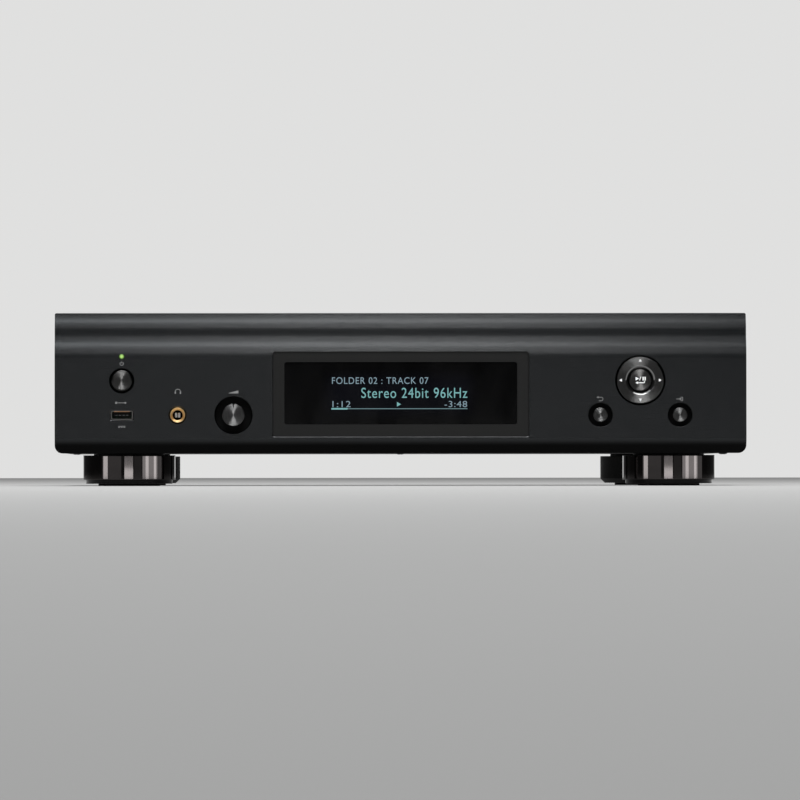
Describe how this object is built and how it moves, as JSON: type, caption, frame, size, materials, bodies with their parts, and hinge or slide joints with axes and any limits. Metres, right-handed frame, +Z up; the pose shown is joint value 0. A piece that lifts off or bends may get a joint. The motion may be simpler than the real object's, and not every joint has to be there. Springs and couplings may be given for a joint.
{
  "type": "network audio player",
  "caption": "Wide, low black network audio player: wave-topped brushed front with display, power key, headphone socket, volume knob and cursor rocker, on round feet.",
  "frame": {"origin": "on the floor, under the middle of the whole width and depth", "axes": "+X to the right seen from the front, -Y towards the person at the front, +Z up"},
  "size_m": [0.434, 0.415, 0.1085],
  "materials": {
    "panel_black": "black anodised, brushed lengthwise",
    "case_black": "fine matt powder coat",
    "moulded_black": "matt moulded",
    "bezel_black": "satin moulded",
    "gloss_black": "glossy moulded",
    "display_black": "smoked, polished",
    "spun_metal": "spun face, bright edge",
    "dark_spun": "dark anodised, spun face",
    "dark_chrome": "polished",
    "led_green": "lit",
    "gilt": "plated, polished",
    "bright_steel": "bright",
    "black_screw": "blacked",
    "pad_dark": "matt",
    "board_green": "lacquered board",
    "bare_aluminium": "extruded",
    "transformer_grey": "painted can",
    "capacitor_sleeve": "shrink sleeve"
  },
  "bodies": {
    "chassis": {"antenna_terminals": "gilt", "audio_board": "board_green", "base_screws": "black_screw", "board_standoffs": "bright_steel", "chassis_tray": "case_black", "cover_screws": "black_screw", "display_bezel": "bezel_black", "display_module": "gloss_black", "display_window": "display_black", "encoder_body": "bright_steel", "flat_port_shell": "bright_steel", "flat_port_tongue": "moulded_black", "foot_pads": "pad_dark", "foot_screws": "black_screw", "front_boards": "board_green", "front_foot_left": "gloss_black", "front_foot_right": "gloss_black", "front_foot_trim_left": "dark_chrome", "front_foot_trim_right": "dark_chrome", "front_panel": "panel_black", "front_subframe": "moulded_black", "headphone_bush": "gilt", "headphone_jack": "moulded_black", "heat_sink": "bare_aluminium", "inlet_pins": "bright_steel", "mains_inlet": "moulded_black", "network_board": "board_green", "network_port": "bright_steel", "optical_sockets": "moulded_black", "panel_screws": "bright_steel", "phono_blocks": "moulded_black", "phono_shells": "gilt", "power_led_lens": "led_green", "power_supply_board": "board_green", "power_transformer": "transformer_grey", "rear_foot_left": "moulded_black", "rear_foot_right": "moulded_black", "rear_panel": "case_black", "rear_port_shells": "bright_steel", "rear_port_tongues": "moulded_black", "rear_screws": "black_screw", "supply_capacitors": "capacitor_sleeve", "tact_switches": "moulded_black", "top_cover": "case_black", "transformer_bolt": "bright_steel"},
    "power_button": {"power_button_cap": "dark_spun", "power_button_plunger": "moulded_black"},
    "back_button": {"back_button_cap": "spun_metal", "back_button_plunger": "moulded_black"},
    "source_button": {"source_button_cap": "spun_metal", "source_button_plunger": "moulded_black"},
    "enter_button": {"enter_button_cap": "dark_spun", "enter_button_plunger": "moulded_black"},
    "cursor_carrier": {"cursor_carrier": "moulded_black"},
    "cursor_ring": {"cursor_ring": "dark_spun"},
    "volume_knob": {"volume_knob": "moulded_black", "volume_knob_cap": "spun_metal", "encoder_shaft": "bright_steel"},
    "optical_shutter_inner": {"optical_shutter_inner": "moulded_black"},
    "optical_shutter_outer": {"optical_shutter_outer": "moulded_black"}
  },
  "joints": [
    {"name": "power_press", "type": "slide", "parent": "chassis", "child": "power_button", "axis": [0, 1, 0], "range_m": [0, 0.0008], "stiffness_N_per_m": 400},
    {"name": "back_press", "type": "slide", "parent": "chassis", "child": "back_button", "axis": [0, 1, 0], "range_m": [0, 0.0008], "stiffness_N_per_m": 400},
    {"name": "source_press", "type": "slide", "parent": "chassis", "child": "source_button", "axis": [0, 1, 0], "range_m": [0, 0.0008], "stiffness_N_per_m": 400},
    {"name": "enter_press", "type": "slide", "parent": "chassis", "child": "enter_button", "axis": [0, 1, 0], "range_m": [0, 0.0008], "stiffness_N_per_m": 400},
    {"name": "cursor_up_down", "type": "hinge", "parent": "chassis", "child": "cursor_carrier", "pos_m": [0.1503, -0.1965, 0.0662], "axis": [1, 0, 0], "range_deg": [-2.5, 2.5], "stiffness_Nm_per_rad": 0.5},
    {"name": "cursor_left_right", "type": "hinge", "parent": "cursor_carrier", "child": "cursor_ring", "pos_m": [0.1503, -0.1981, 0.0662], "axis": [0, 0, 1], "range_deg": [-2.5, 2.5], "stiffness_Nm_per_rad": 0.5},
    {"name": "volume_turn", "type": "hinge", "parent": "chassis", "child": "volume_knob", "pos_m": [-0.105, -0.2, 0.0445], "axis": [0, -1, 0], "continuous": true},
    {"name": "shutter_inner_swing", "type": "hinge", "parent": "chassis", "child": "optical_shutter_inner", "pos_m": [0.1126, 0.1972, 0.03995], "axis": [-1, 0, 0], "range_deg": [0, 85], "stiffness_Nm_per_rad": 0.0005},
    {"name": "shutter_outer_swing", "type": "hinge", "parent": "chassis", "child": "optical_shutter_outer", "pos_m": [0.1286, 0.1972, 0.03995], "axis": [-1, 0, 0], "range_deg": [0, 85], "stiffness_Nm_per_rad": 0.0005}
  ]
}
